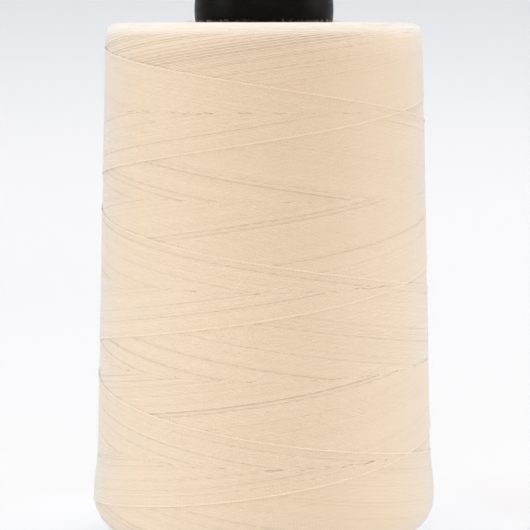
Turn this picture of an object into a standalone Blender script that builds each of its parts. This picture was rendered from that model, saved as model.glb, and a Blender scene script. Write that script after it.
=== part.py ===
"""Cross-wound cone of sewing thread on a one-piece moulded tube.

Blender 4.5, metres, +Z up.  The tube stands on its foot at z = 0 with its
axis on the Z axis.  Three solids are made: the moulded tube, the plain body
of the wound thread, and the outermost thread laid over it in crossing
strokes as one unbroken strand.
"""

import math

import bmesh
import bpy
import numpy
from mathutils import Matrix, Vector

MM = 0.001

# Driving sizes, in millimetres.
TUBE_HEIGHT = 145.0
TUBE_WALL = 1.8
TUBE_TAPER_DEG = 4.333
NECK_DIAMETER = 33.4
NOSE_HEIGHT = 11.5
NOSE_BULGE = 0.25
NOSE_BULGE_RISE = 3.2
NOSE_LEAN = 1.1
NOSE_RIM_RADIUS = 2.0
NOSE_WEB_THICKNESS = 2.2
BORE_DIAMETER = 19.0
BORE_EDGE_RADIUS = 0.8
SLEEVE_WALL = 1.6
SLEEVE_DEPTH = 18.0
RIB_COUNT = 6
RIB_THICKNESS = 1.4
RIB_ROOT = 0.4
FOOT_LIP = 1.64
FOOT_HEIGHT = 6.0
FOOT_EDGE_RADIUS = 0.8
FOOT_WALL = 2.6
CATCH_WIDTH = 1.2
CATCH_HEIGHT = 4.0
CATCH_FLOOR = 0.25

PACKAGE_BASE = 8.5
PACKAGE_TOP_DIAMETER = 76.8
PACKAGE_TAPER_DEG = 1.6
SHOULDER_RADIUS = 8.7
TOP_EDGE_RADIUS = 2.0
SWELL = 0.7
SWELL_START = 21.0
SWELL_END = 11.0

THREAD_DIAMETER = 0.33
STROKES = 8
TURNS_PER_STROKE = 2.875
STEPS_PER_TURN = 24
REVERSAL_BELOW_TOP = 2.5
REVERSAL_ABOVE_BASE = 6.0
TUCK_STEPS = 4

# Clearances, in millimetres.
SEAT_GAP = 0.3
STRAND_GAP = 0.5

# Facets.
TUBE_SEGMENTS = 64
PACKAGE_SEGMENTS = 2 * STEPS_PER_TURN
ARC_STEPS = 5

# Sizes that follow from those above.
TUBE_SLOPE = math.tan(math.radians(TUBE_TAPER_DEG))
PACKAGE_SLOPE = math.tan(math.radians(PACKAGE_TAPER_DEG))
PACKAGE_TOP = TUBE_HEIGHT - NOSE_HEIGHT
TRAVERSE = PACKAGE_TOP - PACKAGE_BASE
BORE_RADIUS = BORE_DIAMETER / 2
THREAD_RADIUS = THREAD_DIAMETER / 2


def chord_dip(radius):
    """How far the middle of one straight step of a turn falls inside its circle."""
    return radius * (1 - math.cos(math.pi / STEPS_PER_TURN))


WIDEST_RADIUS = PACKAGE_TOP_DIAMETER / 2 + PACKAGE_SLOPE * TRAVERSE + SWELL
INNER_LAY = SEAT_GAP + THREAD_RADIUS + chord_dip(WIDEST_RADIUS)
OUTER_LAY = INNER_LAY + THREAD_DIAMETER + STRAND_GAP
WINDING_BUILD = OUTER_LAY + THREAD_RADIUS


def arc(centre, radius, start_deg, end_deg, steps=ARC_STEPS):
    """Points (radius, height) along an arc in the profile plane."""
    points = []
    for step in range(steps + 1):
        angle = math.radians(start_deg + (end_deg - start_deg) * step / steps)
        points.append((centre[0] + radius * math.cos(angle), centre[1] + radius * math.sin(angle)))
    return points


def smooth_step(value):
    value = min(max(value, 0.0), 1.0)
    return value * value * (3 - 2 * value)


def cone_radius(height):
    """Outer radius of the tube's tapered wall at a height."""
    return NECK_DIAMETER / 2 + TUBE_SLOPE * (PACKAGE_TOP - height)


def package_radius(height):
    """Radius of the finished thread surface at a height, edges and swell included."""
    above_base = height - PACKAGE_BASE
    below_top = PACKAGE_TOP - height
    radius = PACKAGE_TOP_DIAMETER / 2 + PACKAGE_SLOPE * below_top
    radius += SWELL * smooth_step((SWELL_START - above_base) / (SWELL_START - SWELL_END))
    if above_base < SHOULDER_RADIUS:
        rise = SHOULDER_RADIUS - max(above_base, 0.0)
        radius -= SHOULDER_RADIUS - math.sqrt(SHOULDER_RADIUS ** 2 - rise ** 2)
    if below_top < TOP_EDGE_RADIUS:
        drop = TOP_EDGE_RADIUS - max(below_top, 0.0)
        radius -= TOP_EDGE_RADIUS - math.sqrt(TOP_EDGE_RADIUS ** 2 - drop ** 2)
    return radius


def material(name, colour, roughness):
    """Principled material with a linear base colour."""
    made = bpy.data.materials.new(name)
    made.use_nodes = True
    shader = made.node_tree.nodes["Principled BSDF"]
    shader.inputs["Base Color"].default_value = (*colour, 1.0)
    shader.inputs["Roughness"].default_value = roughness
    shader.inputs["Metallic"].default_value = 0.0
    made.diffuse_color = (*colour, 1.0)
    return made


def add_object(name, data, surface):
    made = bpy.data.objects.new(name, data)
    made.data.materials.append(surface)
    bpy.context.scene.collection.objects.link(made)
    return made


def revolved_mesh(name, outline, segments):
    """Turn a closed outline of (radius, height) points round the Z axis."""
    mesh = bpy.data.meshes.new(name)
    shape = bmesh.new()
    ring = [shape.verts.new((radius * MM, 0.0, height * MM)) for radius, height in outline]
    edges = [shape.edges.new((ring[index - 1], ring[index])) for index in range(len(ring))]
    bmesh.ops.spin(shape, geom=ring + edges, cent=(0, 0, 0), axis=(0, 0, 1),
                   angle=math.tau, steps=segments, use_merge=True, use_duplicate=False)
    bmesh.ops.recalc_face_normals(shape, faces=shape.faces)
    shape.to_mesh(mesh)
    shape.free()
    mesh.shade_smooth()
    mesh.set_sharp_from_angle(angle=math.radians(32))
    return mesh


def box_cutter(name, size, transform):
    """Box that a Boolean adds or takes away, left out of the finished part."""
    mesh = bpy.data.meshes.new(name)
    shape = bmesh.new()
    bmesh.ops.create_cube(shape, size=1.0, matrix=Matrix.Diagonal((*(Vector(size) * MM), 1.0)))
    shape.to_mesh(mesh)
    shape.free()
    cutter = bpy.data.objects.new(name, mesh)
    bpy.context.scene.collection.objects.link(cutter)
    cutter.matrix_world = transform
    cutter.hide_render = True
    cutter.display_type = "WIRE"
    return cutter


def apply_boolean(target, cutter, operation):
    step = target.modifiers.new(cutter.name, "BOOLEAN")
    step.operation = operation
    step.solver = "EXACT"
    step.object = cutter


def nose_outline():
    """Outside of the nose, from the bore's top edge out and down to the neck."""
    crown = NECK_DIAMETER / 2 + NOSE_BULGE
    widest = PACKAGE_TOP + NOSE_BULGE_RISE
    rim_height = TUBE_HEIGHT - NOSE_RIM_RADIUS
    lean = math.atan(2 * NOSE_LEAN / (rim_height - widest))
    side_top = rim_height + NOSE_RIM_RADIUS * math.sin(lean)
    rim_centre = (crown - NOSE_LEAN - NOSE_RIM_RADIUS * math.cos(lean), rim_height)
    bore_centre = (BORE_RADIUS + BORE_EDGE_RADIUS, TUBE_HEIGHT - BORE_EDGE_RADIUS)
    outline = arc(bore_centre, BORE_EDGE_RADIUS, 180, 90, 3)
    outline += arc(rim_centre, NOSE_RIM_RADIUS, 90, math.degrees(lean))
    for step in range(1, ARC_STEPS + 1):
        share = 1 - step / ARC_STEPS
        outline.append((crown - NOSE_LEAN * share ** 2, widest + (side_top - widest) * share))
    outline.append((crown - NOSE_BULGE, PACKAGE_TOP))
    return outline


def tube_outline():
    """Closed profile of the moulded tube: outside down, underside, inside up."""
    foot_radius = cone_radius(FOOT_HEIGHT) + FOOT_LIP
    foot_inner = foot_radius - FOOT_WALL
    wall = TUBE_WALL / math.cos(math.radians(TUBE_TAPER_DEG))
    web_under = TUBE_HEIGHT - NOSE_WEB_THICKNESS
    outline = nose_outline()
    outline.append((cone_radius(FOOT_HEIGHT), FOOT_HEIGHT))
    upper_edge = (foot_radius - FOOT_EDGE_RADIUS, FOOT_HEIGHT - FOOT_EDGE_RADIUS)
    lower_edge = (foot_radius - FOOT_EDGE_RADIUS, FOOT_EDGE_RADIUS)
    outline += arc(upper_edge, FOOT_EDGE_RADIUS, 90, 0, 3)
    outline += arc(lower_edge, FOOT_EDGE_RADIUS, 0, -90, 3)
    outline.append((foot_inner, 0.0))
    outline.append((foot_inner, FOOT_HEIGHT - TUBE_WALL))
    outline.append((cone_radius(FOOT_HEIGHT) - wall, FOOT_HEIGHT))
    outline.append((NECK_DIAMETER / 2 - wall, PACKAGE_TOP))
    outline.append((NECK_DIAMETER / 2 - wall, web_under - TUBE_WALL))
    outline.append((NECK_DIAMETER / 2 - wall - TUBE_WALL, web_under))
    outline.append((BORE_RADIUS + SLEEVE_WALL, web_under))
    outline.append((BORE_RADIUS + SLEEVE_WALL, TUBE_HEIGHT - SLEEVE_DEPTH))
    outline.append((BORE_RADIUS, TUBE_HEIGHT - SLEEVE_DEPTH))
    return outline


def make_tube(surface):
    """Moulded tube with its nose, bore sleeve, ribs, foot and thread catch."""
    tube = add_object("core_tube", revolved_mesh("core_tube", tube_outline(), TUBE_SEGMENTS), surface)
    inner = BORE_RADIUS + SLEEVE_WALL - RIB_ROOT
    outer = NECK_DIAMETER / 2 - TUBE_WALL + RIB_ROOT
    rib_low = TUBE_HEIGHT - SLEEVE_DEPTH + SLEEVE_WALL
    rib_high = TUBE_HEIGHT - NOSE_WEB_THICKNESS + RIB_ROOT
    rib_size = (outer - inner, RIB_THICKNESS, rib_high - rib_low)
    for index in range(RIB_COUNT):
        turn = Matrix.Rotation(math.tau * index / RIB_COUNT, 4, "Z")
        centre = Vector(((inner + outer) / 2, 0.0, (rib_low + rib_high) / 2)) * MM
        rib = box_cutter(f"rib_{index}", rib_size, turn @ Matrix.Translation(centre))
        apply_boolean(tube, rib, "UNION")
    centre = Vector((cone_radius(FOOT_HEIGHT) + FOOT_LIP, 0.0, FOOT_HEIGHT)) * MM
    turn = Matrix.Rotation(math.radians(-90), 4, "Z")
    catch_size = (2 * (FOOT_LIP - CATCH_FLOOR), CATCH_WIDTH, 2 * CATCH_HEIGHT)
    catch = box_cutter("catch_slit", catch_size, turn @ Matrix.Translation(centre))
    apply_boolean(tube, catch, "DIFFERENCE")
    return tube


def package_outline():
    """Closed profile of the thread body, left a winding's build short of the surface."""
    heights = []
    for step in range(ARC_STEPS + 2):
        rise = 1 - math.cos(math.pi / 2 * step / (ARC_STEPS + 1))
        heights.append(PACKAGE_BASE + SHOULDER_RADIUS * rise)
    for step in range(1, ARC_STEPS):
        share = step / (ARC_STEPS - 1)
        heights.append(PACKAGE_BASE + SHOULDER_RADIUS + (SWELL_START - SHOULDER_RADIUS) * share)
    for step in range(ARC_STEPS):
        drop = 1 - math.sin(math.pi / 2 * step / (ARC_STEPS - 1))
        heights.append(PACKAGE_TOP - TOP_EDGE_RADIUS * drop)
    outline = [(package_radius(height) - WINDING_BUILD, height) for height in heights]
    outline.append((cone_radius(PACKAGE_TOP) + SEAT_GAP, PACKAGE_TOP))
    outline.append((cone_radius(PACKAGE_BASE) + SEAT_GAP, PACKAGE_BASE))
    return outline


def make_package(surface):
    """Plain body of all the inner layers of thread, seated on the tube."""
    mesh = revolved_mesh("wound_package", package_outline(), PACKAGE_SEGMENTS)
    return add_object("wound_package", mesh, surface)


def winding_route():
    """Axis points of the outermost thread, in millimetres.

    The cone turns steadily while the thread guide runs up and down, so every
    point stands at a whole step of the turn.  Upward strokes lie inside and
    downward strokes outside, and the thread changes layer at each reversal.
    """
    stroke_steps = round(TURNS_PER_STROKE * STEPS_PER_TURN)
    low = PACKAGE_BASE + REVERSAL_ABOVE_BASE
    high = PACKAGE_TOP - REVERSAL_BELOW_TOP
    route = []
    for step in range(TUCK_STEPS, STROKES * stroke_steps - TUCK_STEPS + 1):
        stroke, along = divmod(step, stroke_steps)
        share = along / stroke_steps
        rising = stroke % 2 == 0
        height = low + (high - low) * (share if rising else 1 - share)
        lay = INNER_LAY if rising else OUTER_LAY
        if along == 0:
            lay = (INNER_LAY + OUTER_LAY) / 2
        route.append((math.tau * step / STEPS_PER_TURN, height, lay))
    return with_tucked_ends(route)


def with_tucked_ends(route):
    """Points of the route, with both ends turned squarely in to the thread body."""
    def place(angle, height, lay):
        radius = package_radius(height) - WINDING_BUILD + lay
        return Vector((radius * math.cos(angle), radius * math.sin(angle), height))

    points = [place(*stop) for stop in route]
    bend = THREAD_DIAMETER
    for end, neighbour in ((0, 1), (-1, -2)):
        angle, height, lay = route[end]
        along = (points[neighbour] - points[end]).normalized() * bend
        points[end] = points[end] + along
        inward = [place(angle, height, lay - bend), place(angle, height, SEAT_GAP)]
        points = inward[::-1] + points if end == 0 else points + inward
    return points


def least_gap(points):
    """Smallest clear distance between stretches of the strand that aren't neighbours."""
    starts = numpy.array([tuple(point) for point in points[:-1]])
    runs = numpy.array([tuple(point) for point in points[1:]]) - starts
    smallest = math.inf
    count = len(starts)
    for index in range(count - STEPS_PER_TURN // 4):
        others = slice(index + STEPS_PER_TURN // 4, count)
        smallest = min(smallest, nearest_run(starts[index], runs[index], starts[others], runs[others]))
    return smallest - THREAD_DIAMETER


def nearest_run(start, run, starts, runs):
    """Least distance from one straight run to many, by closest points of both."""
    between = start - starts
    own = run @ run
    other = numpy.einsum("ij,ij->i", runs, runs)
    mixed = runs @ run
    own_shift = between @ run
    other_shift = numpy.einsum("ij,ij->i", between, runs)
    spread = own * other - mixed ** 2
    flat = spread < 1e-9 * own * other
    share = (mixed * other_shift - own_shift * other) / numpy.where(flat, 1.0, spread)
    share = numpy.clip(numpy.where(flat, 0.0, share), 0.0, 1.0)
    other_share = numpy.clip((mixed * share + other_shift) / other, 0.0, 1.0)
    share = numpy.clip((mixed * other_share - own_shift) / own, 0.0, 1.0)
    gaps = between + share[:, None] * run - other_share[:, None] * runs
    return float(numpy.sqrt(numpy.einsum("ij,ij->i", gaps, gaps).min()))


def make_winding(surface):
    """Outermost thread as one strand swept along its route."""
    points = winding_route()
    print(f"outer winding: least gap to itself {least_gap(points):.2f} mm")
    curve = bpy.data.curves.new("outer_winding", "CURVE")
    curve.dimensions = "3D"
    curve.twist_mode = "Z_UP"
    curve.bevel_depth = THREAD_RADIUS * MM
    curve.bevel_resolution = 1
    curve.use_fill_caps = True
    spline = curve.splines.new("POLY")
    spline.points.add(len(points) - 1)
    for point, place in zip(spline.points, points):
        point.co = (*(place * MM), 1.0)
    spline.use_smooth = True
    return add_object("outer_winding", curve, surface)


def main():
    for item in list(bpy.data.objects):
        bpy.data.objects.remove(item, do_unlink=True)
    plastic = material("black_plastic", (0.010, 0.009, 0.009), 0.38)
    thread = material("ecru_thread", (0.78, 0.60, 0.44), 0.85)
    make_tube(plastic)
    make_package(thread)
    make_winding(thread)


main()
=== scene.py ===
"""Cross-wound cone of ecru sewing thread on a black moulded tube.

The outermost thread is laid strand by strand along the path that the winding
machine gives it: the cone turns steadily, the thread guide runs up and down,
and every double stroke lands one thread's width beside the one before.
"""
import math
import random

import bmesh
import bpy
import numpy
from mathutils import Matrix, Vector


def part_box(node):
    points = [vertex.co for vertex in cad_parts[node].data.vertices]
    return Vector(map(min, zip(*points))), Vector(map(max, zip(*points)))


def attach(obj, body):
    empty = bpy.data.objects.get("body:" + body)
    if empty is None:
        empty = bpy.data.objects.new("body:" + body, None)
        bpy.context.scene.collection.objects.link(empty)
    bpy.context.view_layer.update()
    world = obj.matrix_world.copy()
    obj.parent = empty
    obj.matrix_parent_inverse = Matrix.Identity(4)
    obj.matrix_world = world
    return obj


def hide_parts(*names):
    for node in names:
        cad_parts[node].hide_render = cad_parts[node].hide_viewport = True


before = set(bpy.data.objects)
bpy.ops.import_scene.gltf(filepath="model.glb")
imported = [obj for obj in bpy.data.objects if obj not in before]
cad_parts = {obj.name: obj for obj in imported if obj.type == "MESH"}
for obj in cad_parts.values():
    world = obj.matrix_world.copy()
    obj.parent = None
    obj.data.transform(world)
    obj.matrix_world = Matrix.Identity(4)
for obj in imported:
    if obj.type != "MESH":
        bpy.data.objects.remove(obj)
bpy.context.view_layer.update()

MM = 0.001

# Heights come from the parts in model.glb; the other sizes are those of the real cone, in millimetres.
TUBE_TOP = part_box("core_tube")[1].z / MM
PACKAGE_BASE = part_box("wound_package")[0].z / MM
PACKAGE_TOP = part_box("wound_package")[1].z / MM

TOP_DIAMETER = 76.8
PACKAGE_SLOPE = math.tan(math.radians(1.6))
SHOULDER_RADIUS = 8.3
TOP_EDGE_RADIUS = 2.6
SWELL = 0.7
SWELL_START = 20.0
SWELL_END = 10.0

NECK_DIAMETER = 33.4
TUBE_SLOPE = math.tan(math.radians(4.333))
TUBE_WALL = 1.8
NOSE_BULGE = 0.25
NOSE_BULGE_RISE = 3.2
NOSE_LEAN = 1.1
NOSE_RIM_RADIUS = 2.0
WEB_THICKNESS = 2.2
BORE_RADIUS = 9.5
BORE_EDGE_RADIUS = 0.8
SLEEVE_WALL = 1.6
SLEEVE_DEPTH = 18.0
RIB_COUNT = 6
RIB_THICKNESS = 1.4
RIB_ROOT = 0.4
RIB_EDGE = 0.2
FOOT_LIP = 1.64
FOOT_HEIGHT = 6.0
FOOT_CORNER_RADIUS = 0.5
FOOT_EDGE_RADIUS = 0.8
FOOT_INNER_EDGE_RADIUS = 0.4
FOOT_WALL = 2.6
CATCH_WIDTH = 1.2
CATCH_HEIGHT = 4.0
CATCH_FLOOR = 0.25

# Steps down the nose and round the turned shapes, and the edge angle from which shading is sharp.
NOSE_SIDE_STEPS = 10
NOSE_BULGE_STEPS = 4
TUBE_SEGMENTS = 192
GROUND_SEGMENTS = 160
SHARP_DEG = 40

# The last layer: how far the guide travels in one turn of the cone, how many strands lie side
# by side in that travel, and how wide they are. The last strand laid is wider.
PITCH = 41.1
STRANDS = 126
SPACING = PITCH / STRANDS
STRAND_OVERLAP = 1.12
STRAND_WIDTH = SPACING * STRAND_OVERLAP
LAST_WIDTH = 0.42

# Where the guide turns back, in millimetres of the profile, and how much of the cone's turn
# in radians the bend takes. It is quick from midway through the layer. The two angles from the
# front are those at which the newest rising and falling strands reach the top.
TOP_REVERSAL = 4.1
BASE_REVERSAL = 2.0
FOLD_OVER = 1.5
SLOW_REVERSAL = 0.8
QUICK_REVERSAL = 0.45
QUICK_FROM = 0.40
QUICK_EASE = 0.17
RISING_APEX_DEG = 240.0
FALLING_APEX_DEG = 232.5

# How high the strands lie, in millimetres, and how deep their ends sink under others.
# Each pair of the unevenness is a height and the number of strands that it wanders over.
LAYER_RELIEF = 0.13
NEWEST_RISE = 0.10
UNEVENNESS = ((0.007, 11), (0.006, 4), (0.007, 1))
GROOVE_SINK = (0.066, 0.112)
FURROW_RISE = 0.04
SEAM_DIVE = 0.35
COVERED_DIVE = 0.05

# How strands wander to the side, as a share of their spacing, how uneven the seam is, and
# the share of the layer from which strands at the back show again in front.
SIDE_WANDER = 0.08
SEAM_OPENING_DEG = (-2.2, 3.5)
SEAM_CLOSING = 0.5
BACK_SHARE = 0.42

# The step along a path and the length of a tucked end, in degrees of turn. How far in radians
# past the newest strand's top reversal a strand may meet it, and the steps of that search.
# The tone of the last strand, which is paler than the 0 to 1 of the others: a painted highlight.
STEP_DEG = 5.0
TUCK_DEG = 4.5
MEETING_MARGIN = 0.4
MEETING_STEPS = 400
LAST_HIGHLIGHT_TONE = 1.8

# Steps along each stretch of the thread surface's profile.
FOLD_STEPS = 8
TOP_EDGE_STEPS = 16
SIDE_STEPS = 181
SHOULDER_STEPS = 40

# Section of a strand: share of its width across, and height in millimetres.
STRAND_SECTION = ((-0.5, -0.045), (-0.28, 0.03), (0.0, 0.06), (0.28, 0.03), (0.5, -0.045))
LAST_SECTION = ((-0.5, -0.10), (-0.42, 0.02), (-0.24, 0.11), (0.0, 0.15), (0.24, 0.11), (0.42, 0.02),
                (0.5, -0.10))
FIBRE_SECTION = ((-0.5, 0.0), (0.5, 0.0))

# Where a strand lies low and leaves a groove: for each half turn below the top, its
# strand as a share of the layer back from the last one laid, and how strong the groove is.
RISING_GROOVES = (
    (),
    ((0.090, 0.1), (0.214, 0.1), (0.288, 0.2)),
    ((0.214, 0.1), (0.300, 0.0), (0.524, 0.2), (0.548, 0.8), (0.773, 0.2), (0.806, 0.3), (0.828, 0.4)),
    ((0.097, 0.35), (0.156, 0.1), (0.176, -0.2), (0.246, 0.0), (0.280, -0.1)),
    ((0.056, -0.5), (0.152, 0.2), (0.350, 0.0), (0.424, -0.3), (0.519, 0.5), (0.542, 1.3), (0.640, 0.2),
     (0.698, 0.1), (0.736, 0.3), (0.768, 0.2)),
    ((0.053, -0.3), (0.093, 0.0), (0.150, 0.3), (0.216, -0.3), (0.240, 0.2), (0.280, 0.5), (0.297, 0.2)),
    ((0.540, 0.5), (0.620, 0.3)),
)
FALLING_GROOVES = (
    ((0.280, 0.1), (0.720, 0.3)),
    ((0.012, 0.1), (0.036, 0.2), (0.078, 0.2), (0.548, 0.4), (0.571, 1.1), (0.702, 0.8), (0.740, 0.6),
     (0.809, 0.5)),
    ((0.036, 0.4), (0.167, 0.1), (0.258, 0.2), (0.333, 0.7)),
    ((0.050, 0.1), (0.258, 0.1), (0.335, -0.1), (0.440, -0.1), (0.480, 0.2), (0.597, 0.8), (0.693, 1.0),
     (0.768, 0.4), (0.825, 0.0)),
    ((0.046, 0.35), (0.138, 0.3), (0.177, -0.5), (0.210, 0.3), (0.246, -0.2), (0.313, 0.3)),
    ((0.030, -0.1), (0.092, 0.4), (0.129, 0.1), (0.200, -0.2), (0.293, -0.5), (0.393, -0.2), (0.484, 0.4),
     (0.540, 0.0), (0.597, 0.0), (0.684, 0.5), (0.712, 0.7), (0.750, 0.5), (0.800, 0.6)),
    ((0.100, 0.4), (0.300, 0.4)),
)

# Furrows below the top edge: the rising strand that lies low, as a share of the layer, and
# how strong the furrow is. The next older strand stands proud of it.
TOP_FURROWS = (
    (0.318, -0.3), (0.350, -0.2), (0.385, -0.3),
    (0.409, -0.1), (0.470, -0.2), (0.505, 0.0), (0.520, 0.5), (0.536, 0.1), (0.557, 1.0), (0.573, 0.4),
    (0.598, 0.6), (0.622, 0.1), (0.650, 0.5), (0.670, 0.7), (0.690, 0.0), (0.712, 0.9), (0.728, 0.4),
    (0.746, 0.8), (0.766, 0.1), (0.790, -0.1), (0.830, -0.2),
)

# Bends of earlier layers on the two rounded edges: their number, reach in radians of turn,
# how bent they are, how high they lie and how deep their ends and covered parts sink. Then how
# far they reach under the last layer and stay from the ends of the profile, in millimetres.
TOP_BENDS = 560
BASE_BENDS = 300
BEND_REACH = (0.25, 0.8)
BEND_SHARE = (0.4, 1.0)
BEND_LEVEL = (-0.05, 0.03)
BEND_END_SINK = 0.35
BEND_COVERED_SINK = 0.3
BEND_OVERLAP = 0.5
BEND_TOP_GAP = 0.3
BEND_BASE_GAP = 0.1
BEND_BASE_LIMIT = 0.3

# Arcs of the inner layers on the two end faces, in millimetres: radius for one more arc in a
# ring, length of a step, wander and bow to the side, how high they lie, how far their ends sink,
# and where the rings begin and end. An arc's start wanders in radians, and its sweep is a
# multiple of its even share of the ring.
ARC_RADIUS = 4.5
ARC_STEP = 3.0
ARC_START_WANDER = 0.1
ARC_SWEEP = (1.15, 1.6)
ARC_WANDER = 0.12
ARC_BOW = 0.35
ARC_BOW_SHARE = (0.2, 1.0)
ARC_LEVEL = (-0.12, 0.03)
ARC_END_SINK = 0.42
END_INNER_GAP = 0.2
TOP_END_OVERLAP = 0.8
BASE_END_OVERLAP = 0.6

# Loose fibres: how many there are on the thread, its rim and round the neck, and their sizes
# in millimetres. FIBRE_SPREAD and FIBRE_REACH_SHARE are shares, FIBRE_TILT is a slope and
# FIBRE_CURL is in radians.
FIBRES = 2600
RIM_FIBRES = 500
NECK_FIBRES = 420
FIBRE_WIDTH = 0.03
FIBRE_STEPS = 3
FIBRE_SPREAD = 0.97
RIM_SPREAD = 4.5
NECK_SPREAD = (0.2, 2.8)
FIBRE_ROOT = 0.15
NECK_ROOT = 0.1
FIBRE_TILT = 0.5
FIBRE_REACH = (0.25, 1.0)
FIBRE_REACH_SHARE = (0.5, 1.0)
FIBRE_RISE = (0.1, 0.7)
FIBRE_CURL = (1.6, 2.6)

# The body under the strands: how deep it lies, its gap to the tube, and every how many
# points of the profile it takes one.
GROUND_SINK = 0.10
GROUND_GAP = 0.05
GROUND_STRIDE = 3

# Seeds of the random draws.
LAYER_SEED = 11
FIBRE_SEED = 5
TOP_END_SEED = 21
BASE_END_SEED = 22
TOP_EDGE_SEED = 31
BASE_EDGE_SEED = 32


def smooth_step(value):
    """Ease from 0 to 1 with level ends, and stay there beyond them."""
    value = min(max(value, 0.0), 1.0)
    return value * value * (3 - 2 * value)


def package_radius(height):
    """Radius of the thread surface at a height, its rounded edges and swell included."""
    above_base = height - PACKAGE_BASE
    below_top = PACKAGE_TOP - height
    radius = TOP_DIAMETER / 2 + PACKAGE_SLOPE * below_top
    radius += SWELL * smooth_step((SWELL_START - above_base) / (SWELL_START - SWELL_END))
    if above_base < SHOULDER_RADIUS:
        rise = SHOULDER_RADIUS - max(above_base, 0.0)
        radius -= SHOULDER_RADIUS - math.sqrt(SHOULDER_RADIUS ** 2 - rise ** 2)
    if below_top < TOP_EDGE_RADIUS:
        drop = TOP_EDGE_RADIUS - max(below_top, 0.0)
        radius -= TOP_EDGE_RADIUS - math.sqrt(TOP_EDGE_RADIUS ** 2 - drop ** 2)
    return radius


def cone_radius(height):
    """Outer radius of the tube's tapered wall at a height."""
    return NECK_DIAMETER / 2 + TUBE_SLOPE * (PACKAGE_TOP - height)


def arc(centre, radius, start_deg, end_deg, steps):
    """Points (radius, height) along an arc in the profile plane."""
    angles = [math.radians(start_deg + (end_deg - start_deg) * i / steps) for i in range(steps + 1)]
    return [(centre[0] + radius * math.cos(a), centre[1] + radius * math.sin(a)) for a in angles]


def turned(outline, segments, closed=True):
    """Turn a profile of (radius, height) points in millimetres round the Z axis."""
    shape = bmesh.new()
    ring = [shape.verts.new((radius * MM, 0.0, height * MM)) for radius, height in outline]
    first = 0 if closed else 1
    edges = [shape.edges.new((ring[i - 1], ring[i])) for i in range(first, len(ring))]
    bmesh.ops.spin(shape, geom=ring + edges, cent=(0, 0, 0), axis=(0, 0, 1),
                   angle=math.tau, steps=segments, use_merge=True, use_duplicate=False)
    bmesh.ops.recalc_face_normals(shape, faces=shape.faces)
    return shape


def new_object(name, shape):
    """Turn a bmesh into an object of the scene."""
    mesh = bpy.data.meshes.new(name)
    shape.to_mesh(mesh)
    shape.free()
    made = bpy.data.objects.new(name, mesh)
    bpy.context.scene.collection.objects.link(made)
    return made


def dress(piece, surface, replaced=()):
    """Give a piece its material, let it ride on the body and hide the CAD parts that it replaces."""
    piece.data.materials.append(surface)
    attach(piece, "root")
    if replaced:
        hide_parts(*replaced)


# ---------------------------------------------------------------- the tube

def nose_outline():
    """Outside of the nose, from the bore's top edge out and down to the neck."""
    crown = NECK_DIAMETER / 2 + NOSE_BULGE
    widest = PACKAGE_TOP + NOSE_BULGE_RISE
    rim_height = TUBE_TOP - NOSE_RIM_RADIUS
    lean = math.atan(2 * NOSE_LEAN / (rim_height - widest))
    side_top = rim_height + NOSE_RIM_RADIUS * math.sin(lean)
    rim_centre = (crown - NOSE_LEAN - NOSE_RIM_RADIUS * math.cos(lean), rim_height)
    bore_centre = (BORE_RADIUS + BORE_EDGE_RADIUS, TUBE_TOP - BORE_EDGE_RADIUS)
    outline = arc(bore_centre, BORE_EDGE_RADIUS, 180, 90, 6)
    outline += arc(rim_centre, NOSE_RIM_RADIUS, 90, math.degrees(lean), 10)
    for step in range(1, NOSE_SIDE_STEPS + 1):
        share = 1 - step / NOSE_SIDE_STEPS
        outline.append((crown - NOSE_LEAN * share ** 2, widest + (side_top - widest) * share))
    for step in range(1, NOSE_BULGE_STEPS + 1):
        share = step / NOSE_BULGE_STEPS
        outline.append((crown - NOSE_BULGE * share ** 2, widest - NOSE_BULGE_RISE * share))
    return outline


def tube_outline():
    """Closed profile of the moulded tube: outside down, underside, inside up."""
    wall = TUBE_WALL / math.cos(math.atan(TUBE_SLOPE))
    foot_radius = cone_radius(FOOT_HEIGHT) + FOOT_LIP
    foot_inner = foot_radius - FOOT_WALL
    foot_edge = foot_radius - FOOT_EDGE_RADIUS
    web_under = TUBE_TOP - WEB_THICKNESS
    neck_inner = NECK_DIAMETER / 2 - wall
    outline = nose_outline()
    outline.append((cone_radius(PACKAGE_BASE), PACKAGE_BASE))
    corner = (cone_radius(FOOT_HEIGHT) + FOOT_CORNER_RADIUS, FOOT_HEIGHT + FOOT_CORNER_RADIUS)
    outline += arc(corner, FOOT_CORNER_RADIUS, 180, 270, 3)
    outline += arc((foot_edge, FOOT_HEIGHT - FOOT_EDGE_RADIUS), FOOT_EDGE_RADIUS, 90, 0, 5)
    outline += arc((foot_edge, FOOT_EDGE_RADIUS), FOOT_EDGE_RADIUS, 0, -90, 5)
    inner_edge = (foot_inner + FOOT_INNER_EDGE_RADIUS, FOOT_INNER_EDGE_RADIUS)
    outline += arc(inner_edge, FOOT_INNER_EDGE_RADIUS, 270, 180, 3)
    outline.append((foot_inner, FOOT_HEIGHT - TUBE_WALL))
    outline.append((cone_radius(FOOT_HEIGHT) - wall, FOOT_HEIGHT))
    outline.append((neck_inner, PACKAGE_TOP))
    outline += arc((neck_inner - TUBE_WALL, web_under - TUBE_WALL), TUBE_WALL, 0, 90, 5)
    outline.append((BORE_RADIUS + SLEEVE_WALL, web_under))
    sleeve_end = (BORE_RADIUS + SLEEVE_WALL / 2, TUBE_TOP - SLEEVE_DEPTH + SLEEVE_WALL / 2)
    outline += arc(sleeve_end, SLEEVE_WALL / 2, 0, -180, 6)
    return outline


def block(shape, size, centre, turn=0.0):
    """Add a box of a size in millimetres, centred on a point and turned about the Z axis."""
    corners = bmesh.ops.create_cube(shape, size=1.0)["verts"]
    bmesh.ops.scale(shape, vec=Vector(size) * MM, verts=corners)
    bmesh.ops.translate(shape, vec=Vector(centre) * MM, verts=corners)
    bmesh.ops.rotate(shape, cent=(0, 0, 0), matrix=Matrix.Rotation(turn, 3, "Z"), verts=corners)


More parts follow.
